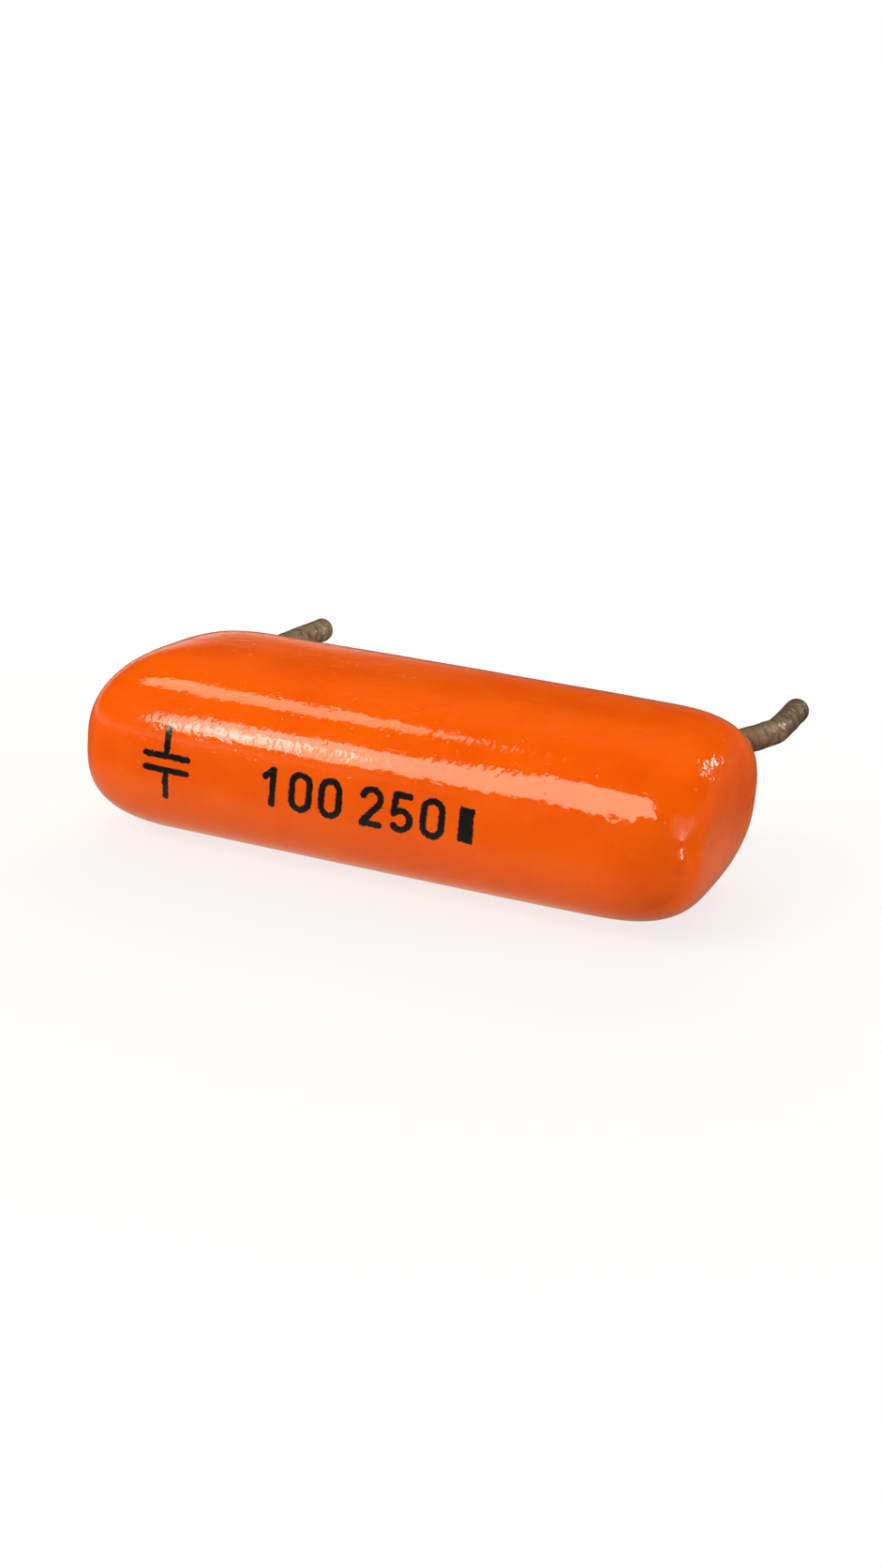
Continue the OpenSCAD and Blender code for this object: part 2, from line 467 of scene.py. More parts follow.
def print_mask(sheet, place):
    """The share of ink on the front: the value mark, its bar and a two-plate symbol."""
    flat = sheet.vector("SUBTRACT", sheet.stretched(place, (1, 0, 1)), (0, 0, MIDDLE_HEIGHT))
    pen = Pen(sheet, flat)
    for figure, x in zip(VALUE_MARK, VALUE_MARK_PLACES):
        pen.digit(figure, x)
    pen.block((BAR_PLACE, 0), *BAR_HALF_SIZES)
    x, z = SYMBOL_PLACE
    for way in (-1, 1):
        plate = z + way * SYMBOL_PLATE_GAP
        pen.line((x - SYMBOL_PLATE_HALF, plate), (x + SYMBOL_PLATE_HALF, plate))
        pen.line((x, plate), (x, z + way * SYMBOL_STUB_END))
    ragged = (sheet.cloud(place, 0.07, detail=1) - 0.5) * 0.07 + (sheet.cloud(place, 0.3) - 0.5) * 0.05
    edge = pen.nearest + ragged
    _, across, _ = sheet.parts(place)
    return edge.step(*PEN_EDGE, 1, 0) * across.step(*PRINT_FADE, 1, 0)


# Finishes
#
# A pattern's size and a relief's height are in millimetres. The first two numbers of a step are the
# part of a pattern between which it turns from bare to full.

# Small spots of rough lacquer, as place, radius and height in millimetres
BLEMISHES = (
    ((7.73, -1.8, 4.08), 0.5, 0.07),
    ((7.83, -0.8, 4.07), 0.45, 0.06),
    ((6.21, -4.1, 3.1), 0.2, 0.05),
    ((8.15, 1.17, 1.81), 0.2, 0.05),
)

# A smooth bead of lacquer on the right shoulder, as place, radius and height in millimetres
BEAD = ((7.84, -3.56, 2.26), 0.4, 0.063)

# A hazy patch above the bead, as place and radius in millimetres and added roughness
HAZE = ((7.72, -3.6, 3.1), 0.45, 0.27)

# Pale tin colour painted in spots on the leads as painted highlights
PAINTED_TIN_HIGHLIGHT = linear(232, 222, 200)


def blemish_height(sheet, place):
    """Height of the rough spots and the bead, in millimetres."""
    grain = sheet.cloud(place, 0.17, detail=1) - 0.5
    height = 0
    for centre, radius, rise in BLEMISHES:
        height = height + sheet.away(place, centre).step(radius * 0.4, radius, rise, 0)
    centre, radius, rise = BEAD
    return height * grain + sheet.away(place, centre).step(0, radius, rise, 0)


def lacquer_finish(sizes):
    """Glossy orange lacquer with the fine pebbling of a dipped coat, pits, rubs and the printed marks."""
    material, sheet, shader = finish_named("orange_lacquer", IOR=1.5, **{"Specular IOR Level": 0.5})
    place = sheet.place()
    pebbles = sheet.cloud(place, 0.18, detail=1.5)
    specks = sheet.spots(place, 0.4).step(0.08, 0.17, 1, 0) * sheet.cloud(place, 0.5).step(0.4, 0.5)
    swells = sheet.cloud(place, 1.1, detail=1.5)
    streaks = sheet.cloud(sheet.stretched(place, (0.35, 1, 1)), 0.3, detail=2)
    pits = sheet.spots(place, 0.9).step(0.04, 0.09, 1, 0)
    rubs = sheet.cloud(sheet.stretched(place, (0.12, 1, 1)), 0.05, detail=1).step(0.66, 0.74)
    rubbed = sheet.cloud(place, 2.2, detail=1).step(0.52, 0.66)
    scuffs = rubs * rubbed
    dull = sheet.cloud(place, 0.3, detail=4, roughness=0.75).step(0.42, 0.62)
    centre, radius, amount = HAZE
    haze = sheet.away(place, centre).step(radius * 0.3, radius, amount, 0)
    ink = print_mask(sheet, place)

    body = sheet.mix(sheet.cloud(place, 1.7, detail=3).step(0.35, 0.7), sizes.lacquer, sizes.lacquer_deep)
    feed(
        sheet,
        shader,
        Base_Color=sheet.mix(ink, body, sizes.ink),
        Roughness=(0.04 + 0.09 * dull + 0.14 * scuffs + 0.1 * ink + 0.1 * pits + haze).held(),
        Normal=sheet.relief(
            pebbles * 0.008
            + swells * 0.016
            + streaks * 0.005
            - pits * 0.006
            - specks * 0.006
            - scuffs * 0.0012
            + ink * 0.002
            + blemish_height(sheet, place)
        ),
    )
    return material


def tinned_finish(sizes):
    """Dull tinned copper: grey-olive tin, dark oxide, worn copper and a bare cut tip, with painted highlights as
    pale spots and painted shade darkening the wire towards its outline.
    """
    material, sheet, shader = finish_named("tinned_wire", **{"Specular IOR Level": 0.3})
    place = sheet.place()
    _, along, _ = sheet.parts(place)
    patches = sheet.cloud(place, 0.45, detail=3, roughness=0.6)
    oxide = sheet.cloud(place, 0.4, detail=3, roughness=0.6, distortion=0.5).step(0.4, 0.64)
    worn = sheet.cloud(sheet.stretched(place, (1, 0.8, 1)), 0.5, detail=2, distortion=0.4).step(0.42, 0.54)
    root = along.step(BODY_HALF_DEPTH / MM + 0.1, BODY_HALF_DEPTH / MM + 2.4, 1, 0)
    copper = (worn * (0.25 + 0.75 * root)).most(along.step(WIRE_TIP / MM - 0.03, WIRE_TIP / MM - 0.005))
    # Spots of smoother tin whose pale colour is a painted highlight
    bright = sheet.cloud(place, 0.24, detail=1.5).step(0.6, 0.74)
    drawn = sheet.cloud(sheet.stretched(place, (1, 0.08, 1)), 0.035, detail=1)
    # Painted shade: how far the wire turns away from the view, which darkens its colour towards its outline
    edge = sheet.add("ShaderNodeLayerWeight", {}, {"Blend": 0.3}, "Facing").step(0.35, 0.85)

    metal = sheet.mix(oxide, sizes.tin, sizes.oxide)
    metal = sheet.mix(copper * 0.8, metal, sizes.copper)
    # Painted highlights: pale spots laid into the tin's colour
    metal = sheet.mix(bright * 0.7, metal, PAINTED_TIN_HIGHLIGHT)
    # Painted shade: a dark rim along the wire's outline, in a darker copy of the oxide colour
    metal = sheet.mix(edge * 0.85, metal, tuple(c * 0.35 for c in sizes.oxide))
    feed(
        sheet,
        shader,
        Base_Color=metal,
        Metallic=(0.5 - 0.2 * oxide).held(),
        Roughness=(0.42 + 0.14 * oxide - 0.16 * bright).held(),
        Normal=sheet.relief(patches * 0.05 + drawn * 0.004 + oxide * 0.006),
    )
    return material


def film_finish(sizes):
    """Metallised film wound flat, whose turns show as fine lines on its edges."""
    material, sheet, shader = finish_named("metallised_film", **{"Specular IOR Level": 0.6})
    place = sheet.place()
    _, _, height = sheet.parts(place)
    level = abs(height - MIDDLE_HEIGHT) + 0.02 * sheet.cloud(place, 1.5)
    turns = (level * (math.tau * MM / sizes.film_pitch)).sine()
    lines = (turns * 0.5 + 0.5).step(0.1, 0.9)
    creases = sheet.cloud(sheet.stretched(place, (1, 0.2, 1)), 0.5, detail=3)
    feed(
        sheet,
        shader,
        Base_Color=sheet.mix(lines, sizes.film_gap, sizes.film),
        Metallic=0.75 + 0.2 * lines,
        Roughness=0.2 + 0.2 * creases,
        Normal=sheet.relief(lines * 0.002 + creases * 0.02),
    )
    return material


def spray_finish(sizes):
    """Metal sprayed on as droplets, rough and grainy."""
    material, sheet, shader = finish_named("sprayed_metal")
    place = sheet.place()
    grains = sheet.spots(place, 0.09)
    lumps = sheet.cloud(place, 0.3, detail=4, roughness=0.7)
    shade = (grains * 0.7 + lumps * 0.5).held()
    feed(
        sheet,
        shader,
        Base_Color=sheet.mix(shade, tuple(c * 0.45 for c in sizes.spray), sizes.spray),
        Metallic=0.7 + 0.2 * lumps,
        Roughness=0.55 + 0.25 * lumps,
        Normal=sheet.relief(lumps * 0.04 - grains * 0.02),
    )
    return material


def solder_finish(sizes):
    """Bright solder with a few frozen ripples and dull frost."""
    material, sheet, shader = finish_named("solder")
    place = sheet.place()
    ripples = sheet.cloud(place, 0.5, detail=2, distortion=0.6)
    frost = sheet.cloud(place, 0.12, detail=3).step(0.5, 0.7)
    feed(
        sheet,
        shader,
        Base_Color=sheet.mix(frost * 0.5, sizes.solder, tuple(c * 0.6 for c in sizes.solder)),
        Metallic=0.95 - 0.1 * frost,
        Roughness=0.2 + 0.25 * frost,
        Normal=sheet.relief(ripples * 0.05 + frost * 0.002),
    )
    return material


def wear(piece, material):
    """Puts one material on a piece."""
    piece.data.materials.clear()
    piece.data.materials.append(material)


# Modelling helpers


def deselect():
    """Leaves nothing selected."""
    bpy.ops.object.select_all(action="DESELECT")


def take(name):
    """Names the object just added, and puts its place into its mesh."""
    piece = bpy.context.object
    piece.name = piece.data.name = name
    bpy.ops.object.transform_apply(location=True, rotation=True, scale=True)
    return piece


def select_edges(piece, wanted):
    """In edit mode, selects the edges whose two ends both pass a test."""
    bpy.ops.mesh.select_all(action="DESELECT")
    bpy.ops.object.mode_set(mode="OBJECT")
    vertices = piece.data.vertices
    for edge in piece.data.edges:
        edge.select = all(wanted(vertices[i].co) for i in edge.vertices)
    bpy.ops.object.mode_set(mode="EDIT")


def extrude(move):
    """Extrudes what is selected and moves the new ring."""
    bpy.ops.mesh.extrude_region_move(TRANSFORM_OT_translate={"value": tuple(move)})


def resize(factors, centre):
    """Scales what is selected about a place."""
    bpy.ops.transform.resize(value=tuple(factors), center_override=tuple(centre))


def smooth(piece, degrees):
    """Leaves edit mode and smooths the piece's shading, but for edges sharper than that angle."""
    bpy.ops.object.mode_set(mode="OBJECT")
    deselect()
    piece.select_set(True)
    bpy.context.view_layer.objects.active = piece
    bpy.ops.object.shade_smooth_by_angle(angle=math.radians(degrees))
    deselect()


def hand_over(piece, slot, *nodes):
    """The finished piece rides on the body and stands for its CAD nodes."""
    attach(piece, BODY)
    if nodes:
        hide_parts(*nodes)


# Pieces

# Share of half the height of an end, or of the wire's radius, that each ring of its cap takes
CAP_RING = 0.3

# Angles in degrees past which an edge stays sharp
SHARP_EDGE = 40
COLLAR_SHARP_EDGE = 60

# The creep round each lead: points round it, rings up its slope, and the steepness of the slope
COLLAR_AROUND = 64
COLLAR_RINGS = 12
COLLAR_POWER = 4

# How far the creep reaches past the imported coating, stands off the wire, cuts into it, is buried in the
# coating, begins under its surface, and rises from its neck to the wire
COLLAR_EXTRA = 0.2 * MM
COLLAR_GAP = 0.012 * MM
COLLAR_BITE = 0.03 * MM
COLLAR_BURIED = 0.12 * MM
COLLAR_FOOT = 0.006 * MM
COLLAR_LIP = 0.004 * MM

# The wire: length from ring to ring, rings in each bend, and the bevel of its tip as (share of the
# bevel, share of the radius left)
WIRE_STEP = 0.12 * MM
BEND_RINGS = 10
TIP_PROFILE = ((0.35, 0.95), (0.35, 0.88), (0.3, 0.77))


def section_halves(x, sizes):
    """Half the depth and half the height of the body's section at a place along X."""
    half_height = (BODY_TOP + sizes.seat_cut) / 2
    past = max(0.0, (abs(x) - BODY_HALF_LENGTH + sizes.end_length) / sizes.end_length)
    power = sizes.end_fullness
    draw_in = sizes.end_depth * (1 - max(0.0, 1 - past**power) ** (1 / power))
    full = 1 - sizes.belly * (x / BODY_HALF_LENGTH) ** 2
    return BODY_HALF_DEPTH * full - draw_in, half_height * full - draw_in


def stations(sizes):
    """Places of the sections along X, close together where the ends turn in."""
    start = BODY_HALF_LENGTH - sizes.end_length
    end = [
        start + sizes.end_length * math.sin(math.pi / 2 * i / sizes.end_rings) ** (2 / sizes.end_fullness)
        for i in range(sizes.end_rings + 1)
    ]
    middle = [start * (2 * i / sizes.middle_rings - 1) for i in range(1, sizes.middle_rings)]
    return [-x for x in reversed(end)] + middle + end


def squared(value, power):
    """A sine or cosine drawn out towards the corner of a section."""
    return math.copysign(abs(value) ** (2 / power), value)


class CAPACITOR_OT_coating(bpy.types.Operator):
    """Makes the dipped coating, with the marks printed on its front edge"""

    bl_idname = "capacitor.coating"
    bl_label = "Coating"
    bl_options = {"REGISTER", "UNDO"}

    def execute(self, context):
        sizes = context.scene.capacitor_coating
        middle = (BODY_TOP - sizes.seat_cut) / 2
        places = stations(sizes)
        half_depth, half_height = section_halves(places[0], sizes)
        deselect()
        bpy.ops.mesh.primitive_circle_add(
            vertices=sizes.around,
            radius=half_depth,
            fill_type="NOTHING",
            location=(places[0], 0, middle),
            rotation=(0, math.pi / 2, 0),
        )
        coating = take("dipped_coating")
        for vertex in coating.data.vertices:
            turn = math.atan2(vertex.co.z - middle, vertex.co.y)
            vertex.co.y = half_depth * squared(math.cos(turn), sizes.fullness)
            vertex.co.z = middle + half_height * squared(math.sin(turn), sizes.fullness)
        bpy.ops.object.mode_set(mode="EDIT")
        bpy.ops.mesh.select_all(action="SELECT")
        for before, x in zip(places, places[1:]):
            depth, height = section_halves(x, sizes)
            extrude((x - before, 0, 0))
            resize((1, depth / half_depth, height / half_height), (x, 0, middle))
            half_depth, half_height = depth, height
        for end in (places[0], places[-1]):
            select_edges(coating, lambda co, end=end: abs(co.x - end) < CLOSE)
            bpy.ops.mesh.edge_face_add()
            for _ in range(2):
                bpy.ops.mesh.inset(thickness=half_height * CAP_RING, depth=0)
            bpy.ops.mesh.poke()
        bpy.ops.mesh.select_all(action="SELECT")
        bpy.ops.mesh.normals_make_consistent(inside=False)
        bpy.ops.object.mode_set(mode="OBJECT")

        swell = bpy.data.textures.new("coat_swell", "CLOUDS")
        swell.noise_scale = sizes.uneven_length
        displace = coating.modifiers.new("uneven", "DISPLACE")
        displace.texture = swell
        displace.texture_coords = "LOCAL"
        displace.mid_level = 0.5
        displace.strength = sizes.uneven_height
        bpy.ops.object.modifier_apply(modifier=displace.name)

        bpy.ops.object.mode_set(mode="EDIT")
        bpy.ops.mesh.select_all(action="SELECT")
        bpy.ops.mesh.bisect(
            plane_co=(0, 0, 0), plane_no=(0, 0, 1), use_fill=True, clear_inner=True, threshold=CLOSE
        )
        smooth(coating, SHARP_EDGE)
        wear(coating, lacquer_finish(sizes))
        hand_over(coating, "lacquer", "coating")
        return {"FINISHED"}


def collar_profile(sizes):
    """Rings of the creep as (radius, height above the coating), from its buried foot up to the wire."""
    foot, neck = sizes.collar_radius, WIRE_RADIUS + COLLAR_GAP
    rise = CREEP_TIP - BODY_HALF_DEPTH + COLLAR_EXTRA
    rings = [(foot + COLLAR_BITE, -COLLAR_BURIED), (foot, -COLLAR_FOOT)]
    for i in range(1, COLLAR_RINGS + 1):
        closer = i / COLLAR_RINGS
        rings.append((foot + (neck - foot) * closer, rise * closer**COLLAR_POWER))
    rings.append((WIRE_RADIUS - COLLAR_BITE, rise + COLLAR_LIP))
    rings.append((WIRE_RADIUS - COLLAR_BITE, -COLLAR_BURIED))
    return rings


class CAPACITOR_OT_collars(bpy.types.Operator):
    """Makes the lacquer that creeps out along each lead, laid on the coating"""

    bl_idname = "capacitor.collars"
    bl_label = "Lead Collars"
    bl_options = {"REGISTER", "UNDO"}

    def execute(self, context):
        sizes = context.scene.capacitor_coating
        coating = bpy.data.objects["dipped_coating"]
        rings = collar_profile(sizes)
        for side, word in SIDE_NAMES.items():
            centre = Vector((side * WIRE_ROOT_X, BODY_HALF_DEPTH, WIRE_HEIGHT))
            deselect()
            bpy.ops.mesh.primitive_circle_add(
                vertices=COLLAR_AROUND,
                radius=rings[0][0],
                fill_type="NOTHING",
                location=centre,
                rotation=(math.pi / 2, 0, 0),
            )
            collar = take(f"lead_collar_{word}")
            bpy.ops.object.mode_set(mode="EDIT")
            bpy.ops.mesh.select_all(action="SELECT")
            around = len(collar.data.vertices)
            for (before, _), (radius, _) in zip(rings, rings[1:]):
                extrude((0, 0, 0))
                resize((radius / before, 1, radius / before), centre)
            bpy.ops.object.mode_set(mode="OBJECT")
            for index, vertex in enumerate(collar.data.vertices):
                _, height = rings[index // around]
                start = vertex.co + Vector((0, BODY_HALF_DEPTH, 0))
                found, surface, _, _ = coating.ray_cast(start, Vector((0, -1, 0)))
                if not found:
                    raise RuntimeError("the collar reaches past the coating")
                vertex.co.y = surface.y + height
            bpy.ops.object.mode_set(mode="EDIT")
            bpy.ops.mesh.select_all(action="DESELECT")
            bpy.ops.mesh.select_non_manifold()
            bpy.ops.mesh.bridge_edge_loops()
            bpy.ops.mesh.select_all(action="SELECT")
            bpy.ops.mesh.normals_make_consistent(inside=False)
            smooth(collar, COLLAR_SHARP_EDGE)
            wear(collar, coating.data.materials[0])
            hand_over(collar, "lacquer")
        return {"FINISHED"}


class CAPACITOR_OT_leads(bpy.types.Operator):
    """Makes the two tinned wires, bent out to their pitch and cut off"""

    bl_idname = "capacitor.leads"
    bl_label = "Leads"
    bl_options = {"REGISTER", "UNDO"}

    def run_straight(self, start, end):
        """Extrudes the wire from one place to another in short lengths."""
        run = end - start
        count = max(1, round(run.length / WIRE_STEP))
        for _ in range(count):
            extrude(run / count)

    def make(self, side, sizes, material):
        """Makes one wire: a run out of the body, a bend, a slanted run, a bend back and a run to the tip."""
        radius, turn = sizes.bend_radius, sizes.slant
        jog = WIRE_END_X - WIRE_ROOT_X
        full_bend = 2 * radius * (1 - math.cos(turn))
        bend = turn if jog >= full_bend else math.acos(1 - jog / (2 * radius))
        slant_length = (jog - 2 * radius * (1 - math.cos(bend))) / math.sin(bend)
        inner = Vector((side * WIRE_ROOT_X, WIRE_INNER_END, WIRE_HEIGHT))
        first = Vector((side * WIRE_ROOT_X, BODY_HALF_DEPTH + sizes.first_bend, WIRE_HEIGHT))
        deselect()
        bpy.ops.mesh.primitive_circle_add(
            vertices=sizes.around,
            radius=WIRE_RADIUS,
            fill_type="NOTHING",
            location=inner,
            rotation=(math.pi / 2, 0, 0),
        )
        lead = take(f"tinned_lead_{SIDE_NAMES[side]}")
        bpy.ops.object.mode_set(mode="EDIT")
        bpy.ops.mesh.select_all(action="SELECT")
        self.run_straight(inner, first)
        centre = first + Vector((side * radius, 0, 0))
        bpy.ops.mesh.spin(steps=BEND_RINGS, angle=side * bend, center=centre, axis=(0, 0, 1))
        slant = Vector((side * math.sin(bend), math.cos(bend), 0))
        leaving = centre - Vector((side * math.cos(bend), -math.sin(bend), 0)) * radius
        entering = leaving + slant * slant_length
        self.run_straight(leaving, entering)
        centre = entering + Vector((-side * math.cos(bend), math.sin(bend), 0)) * radius
        bpy.ops.mesh.spin(steps=BEND_RINGS, angle=-side * bend, center=centre, axis=(0, 0, 1))
        second = centre + Vector((side * radius, 0, 0))
        shoulder = Vector((second.x, WIRE_TIP - sizes.tip_bevel, WIRE_HEIGHT))
        self.run_straight(second, shoulder)
        wide = 1.0
        for part, narrow in TIP_PROFILE:
            extrude((0, sizes.tip_bevel * part, 0))
            resize((narrow / wide, 1, narrow / wide), (second.x, WIRE_TIP, WIRE_HEIGHT))
            wide = narrow
        for end in (WIRE_INNER_END, WIRE_TIP):
            select_edges(lead, lambda co, end=end: abs(co.y - end) < CLOSE)
            bpy.ops.mesh.edge_face_add()
            bpy.ops.mesh.inset(thickness=WIRE_RADIUS * CAP_RING, depth=0)
            bpy.ops.mesh.poke()
        bpy.ops.mesh.select_all(action="SELECT")
        bpy.ops.mesh.normals_make_consistent(inside=False)
        bpy.ops.object.mode_set(mode="OBJECT")
        normals = [vertex.normal.copy() for vertex in lead.data.vertices]
        for vertex, normal in zip(lead.data.vertices, normals):
            if vertex.co.y < WIRE_TIP - sizes.tip_bevel:
                dent = noise.noise(vertex.co / sizes.dent_length + Vector((side, 0, 0)))
                vertex.co += normal * dent * sizes.dent_height
        smooth(lead, SHARP_EDGE)
        wear(lead, material)
        hand_over(lead, "tinned_wire", f"lead_{SIDE_NAMES[side]}")

    def execute(self, context):
        sizes = context.scene.capacitor_leads
        material = tinned_finish(sizes)
        for side in SIDE_NAMES:
            self.make(side, sizes, material)
        return {"FINISHED"}


class CAPACITOR_OT_inside(bpy.types.Operator):
    """Gives the winding, the sprayed ends and the solder inside the coating their finishes"""

    bl_idname = "capacitor.inside"
    bl_label = "Inner Parts"
    bl_options = {"REGISTER", "UNDO"}

    def execute(self, context):
        sizes = context.scene.capacitor_inside
        nodes = frame["nodes"]
        wear(nodes["film_winding"], film_finish(sizes))
        spray, solder = spray_finish(sizes), solder_finish(sizes)
        for word in SIDE_NAMES.values():
            wear(nodes[f"end_contact_{word}"], spray)
            wear(nodes[f"solder_joint_{word}"], solder)
        return {"FINISHED"}


# Stage

# Softboxes as place, aim, width, height in millimetres, turn in degrees, brightness and share of blue.
# The first set shows as highlights in gloss, and the second lights the surfaces.
HIGHLIGHTS = {
    "left_highlight": ((-76.5, -120, 98), (-76.5, 0, 98), 28, 90, 0, 7.2, 0.8),
    "middle_highlight": ((-19, -120, 132), (-19, 0, 132), 86, 196, 0, 6.1, 0.68),
    "right_highlight": ((49.5, -120, 145), (49.5, 0, 145), 51, 170, 0, 6.1, 0.68),
    "top_highlight": ((-68.5, 29, 120), (-68.5, 29, 0), 71, 44, -22, 3.7, 0.63),
    "patch_highlight": ((-64, -119, 60), (-64, 0, 60), 16, 50, 0, 9.8, 0.86),
    "back_sparkle": ((51, 108, 41), (0, 0, 2), 7, 8, 0, 40.0, 0.82),
    "side_sparkle": ((118, -28, 4.5), (0, 0, 2), 10, 9, 0, 44.0, 0.82),
}
FILLS = {
    "left_fill": ((-79, -120, 101), (0, 0, 2), 80, 80, 0, 7.5, 0.88),
    "front_fill": ((6.5, -120, 92), (0, 0, 2), 137, 116, 0, 1.2, 0.88),
    "right_fill": ((108, 50, 9), (0, 0, 2), 80, 60, 0, 9.4, 0.88),
    "back_fill": ((-20, 110, 70), (0, 0, 2), 100, 80, 0, 5.2, 0.88),
}
OVALS = {"top_highlight"}

# The soft glow in the object's gloss: its direction, how much it is narrowed along each axis, and the
# distances from its middle between which it fades
GLOW_WAY = (0.92, -0.36, 0.15)
GLOW_NARROWING = (1.75, 1.75, 0.8)
GLOW_FADE = (0.08, 0.52)

# The bright wall in the object's gloss, as (from, to, value before, value after): up from the horizon
# and across from the left, both as parts of a direction
WALL_UP = (-0.02, math.sin(math.radians(14)), 0.8, 0.01)
WALL_ACROSS = (-0.48, -0.27, 1, 0.14)

# The footprint is the body's box on the floor, less an inset in millimetres. Beyond it the floor's
# brightness in gloss, and its glow on the body, fade between these distances in millimetres.
FOOTPRINT_INSET = 1
GLOSS_FADE = (1.5, 8)
GLOW_UNDER_FADE = (0.3, 2.4)
FAR_GLOSS = 0.02

# Changes of the floor's brightness along X, as (from, to, value before, value after) in millimetres
RIGHT_END_DIMMING = (4, 8.5, 1, 0.32)
FAR_LEFT_GLOSS = (-90, -30, 0.25, 0.05)

# Share of the shadow's radius at which it begins to fade
SHADOW_CORE = 0.35

# Points round the floor, and how far it lies under the body
FLOOR_AROUND = 96
FLOOR_DROP = 0.004 * MM

# Colour of the surroundings to the camera, and in the object's gloss and on its surfaces
WHITE = (1.0, 1.0, 1.0)
WARM_WHITE = (1.0, 0.95, 0.74)


def softbox(name, place, aim, width, height, turn, brightness, blue):
    """An area lamp whose face is that bright, as a highlight or as a fill."""
    place, aim = Vector(place) * MM, Vector(aim) * MM
    facing = (aim - place).to_track_quat("-Z", "Y") @ Quaternion((0, 0, 1), math.radians(turn))
    bpy.ops.object.light_add(type="AREA", location=place, rotation=facing.to_euler())
    lamp = bpy.context.object
    lamp.name = lamp.data.name = name
    lamp.data.shape = "ELLIPSE" if name in OVALS else "RECTANGLE"
    lamp.data.size = width * MM
    lamp.data.size_y = height * MM
    lamp.data.color = (*WARM_WHITE[:2], blue)
    lamp.data.energy = brightness * math.pi * width * MM * height * MM
    if name in OVALS:
        lamp.data.energy *= math.pi / 4
    lamp.visible_camera = False
    lamp.visible_glossy = name in HIGHLIGHTS
    lamp.visible_diffuse = name in FILLS


def floor_finish(settings):
    """A pale floor, white to the camera but for the object's shadow, and dimmer in its gloss."""
    material = bpy.data.materials.new("pale_floor")
    material.use_nodes = True
    sheet = Sheet(material.node_tree)
    ray = sheet.add("ShaderNodeLightPath", output="Is Camera Ray")
    mirrored = ray.out("Is Glossy Ray").most(ray.out("Is Transmission Ray"))
    place = sheet.place()
    reach = settings.shadow_radius / MM
    kept = sheet.length_of(place).step(reach * SHADOW_CORE, reach, settings.shadow_share, 0)
    footprint = (BODY_HALF_LENGTH / MM - FOOTPRINT_INSET, BODY_HALF_DEPTH / MM - FOOTPRINT_INSET, 0)
    beyond = sheet.vector("SUBTRACT", sheet.vector("ABSOLUTE", place), footprint)
    beyond = sheet.length_of(sheet.vector("MAXIMUM", beyond, (0, 0, 0)))
    across, _, _ = sheet.parts(place)
    dimming = across.step(*RIGHT_END_DIMMING)
    gloss = beyond.step(*GLOSS_FADE, settings.gloss_floor, FAR_GLOSS) * dimming + across.step(*FAR_LEFT_GLOSS)
    under = beyond.step(*GLOW_UNDER_FADE, settings.floor_glow, 0) * dimming * ray.out("Is Diffuse Ray")
    tone = sheet.mix(ray, (settings.floor_tone,) * 3, (settings.paper_tone,) * 3)
    paper = sheet.add("ShaderNodeBsdfDiffuse", {}, {"Color": tone})
    light = sheet.mix(ray, WARM_WHITE, WHITE)
    white = sheet.add("ShaderNodeEmission", {}, {"Color": light, "Strength": 1 - mirrored * (1 - gloss)})
    seen = ray * (1 - kept) + mirrored + under
    mixed = sheet.add("ShaderNodeMixShader", {}, {0: seen, 1: paper, 2: white})
    sheet.add("ShaderNodeOutputMaterial", {}, {"Surface": mixed})
    return material


def light_surroundings(settings):
    """White to the camera, white low down in the object's gloss, and a soft fill on its surfaces."""
    world = bpy.data.worlds.new("studio")
    bpy.context.scene.world = world
    world.use_nodes = True
    sheet = Sheet(world.node_tree)
    ray = sheet.add("ShaderNodeLightPath", output="Is Camera Ray")
    mirrored = ray.out("Is Glossy Ray").most(ray.out("Is Transmission Ray"))
    direction = sheet.add("ShaderNodeTexCoord", output="Generated")
    across, _, rise = sheet.parts(direction)
    wall = rise.step(*WALL_UP) * across.step(*WALL_ACROSS)
    off = sheet.stretched(sheet.vector("SUBTRACT", direction, GLOW_WAY), GLOW_NARROWING)
    glow = sheet.length_of(off).step(*GLOW_FADE, settings.side_glow, 0)
    lit = mirrored * (wall + glow) + (1 - mirrored) * (settings.fill - across.least(0) * settings.left_fill)
    light = sheet.mix(ray, WARM_WHITE, WHITE)
    backdrop = sheet.add("ShaderNodeBackground", {}, {"Color": light, "Strength": ray + (1 - ray) * lit})
    sheet.add("ShaderNodeOutputWorld", {}, {"Surface": backdrop})


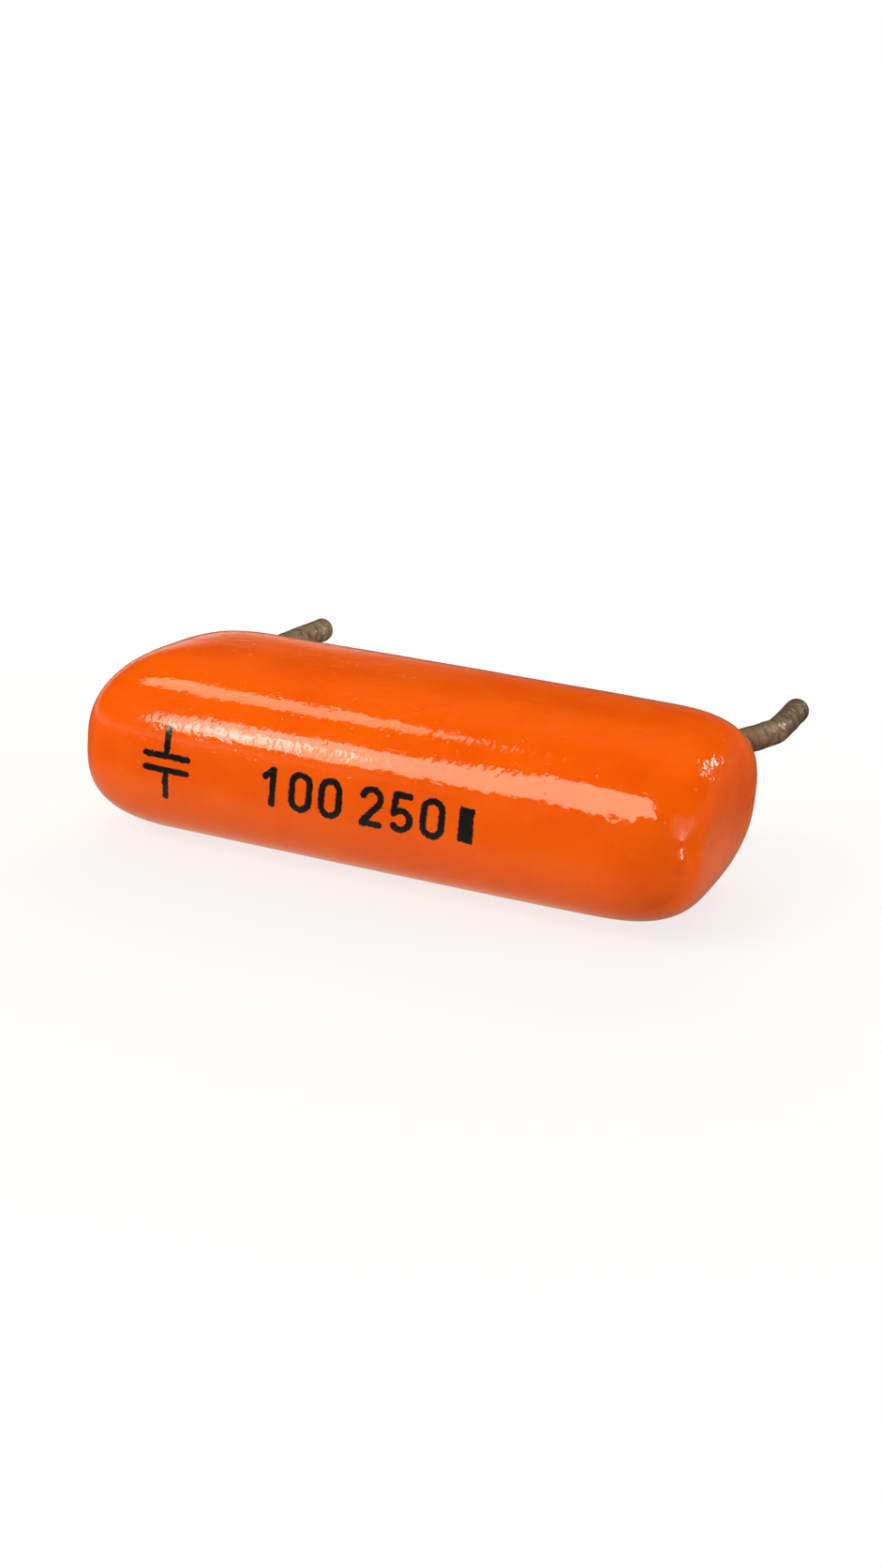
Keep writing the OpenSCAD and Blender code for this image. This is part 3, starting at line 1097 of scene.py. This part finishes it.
class CAPACITOR_OT_stage(bpy.types.Operator):
    """Makes the floor, the lamps, the surroundings and the camera"""

    bl_idname = "capacitor.stage"
    bl_label = "Stage"
    bl_options = {"REGISTER", "UNDO"}

    def execute(self, context):
        settings = context.scene.capacitor_stage
        deselect()
        bpy.ops.mesh.primitive_circle_add(
            vertices=FLOOR_AROUND, radius=settings.floor_radius, fill_type="NGON", location=(0, 0, -FLOOR_DROP)
        )
        floor = take("floor")
        wear(floor, floor_finish(settings))
        light_surroundings(settings)
        for name, box in (*HIGHLIGHTS.items(), *FILLS.items()):
            softbox(name, *box)
        self.point_camera(context, settings)
        context.scene.view_settings.view_transform = "Standard"
        return {"FINISHED"}

    def point_camera(self, context, settings):
        """Adds the camera, turned by its azimuth and elevation and then about its own line of sight."""
        azimuth, elevation, roll = settings.camera_azimuth, settings.camera_elevation, settings.camera_roll
        right = Vector((math.cos(azimuth), math.sin(azimuth), 0))
        back = Vector(
            (math.sin(azimuth) * math.cos(elevation), -math.cos(azimuth) * math.cos(elevation), math.sin(elevation))
        )
        up = back.cross(right)
        across = math.cos(roll) * right - math.sin(roll) * up
        above = math.sin(roll) * right + math.cos(roll) * up
        turned = Matrix((across, above, back)).transposed()
        bpy.ops.object.camera_add(location=settings.camera_place, rotation=turned.to_euler())
        camera = context.object
        camera.name = camera.data.name = "camera"
        camera.data.sensor_width = 36
        camera.data.lens = settings.camera_lens
        camera.data.clip_start = 1 * MM
        camera.data.clip_end = 2
        context.scene.camera = camera


class CAPACITOR_PT_sidebar(bpy.types.Panel):
    """Lists the pieces of the capacitor and their sizes"""

    bl_idname = "CAPACITOR_PT_sidebar"
    bl_label = "Film Capacitor"
    bl_space_type = "VIEW_3D"
    bl_region_type = "UI"
    bl_category = "Capacitor"

    def draw(self, context):
        for step in STEPS:
            self.layout.operator(step.bl_idname)
        for group, settings in GROUPS.items():
            box = self.layout.box()
            for name in settings.__annotations__:
                box.prop(getattr(context.scene, group), name)


STEPS = (
    CAPACITOR_OT_coating,
    CAPACITOR_OT_collars,
    CAPACITOR_OT_leads,
    CAPACITOR_OT_inside,
    CAPACITOR_OT_stage,
)
CLASSES = (*GROUPS.values(), *STEPS, CAPACITOR_PT_sidebar)


def register():
    for listed in CLASSES:
        bpy.utils.register_class(listed)
    for group, settings in GROUPS.items():
        setattr(bpy.types.Scene, group, PointerProperty(type=settings))


def unregister():
    for group in GROUPS:
        delattr(bpy.types.Scene, group)
    for listed in reversed(CLASSES):
        bpy.utils.unregister_class(listed)


def main():
    register()
    bpy.ops.capacitor.coating()
    bpy.ops.capacitor.collars()
    bpy.ops.capacitor.leads()
    bpy.ops.capacitor.inside()
    bpy.ops.capacitor.stage()


if __name__ == "__main__":
    main()
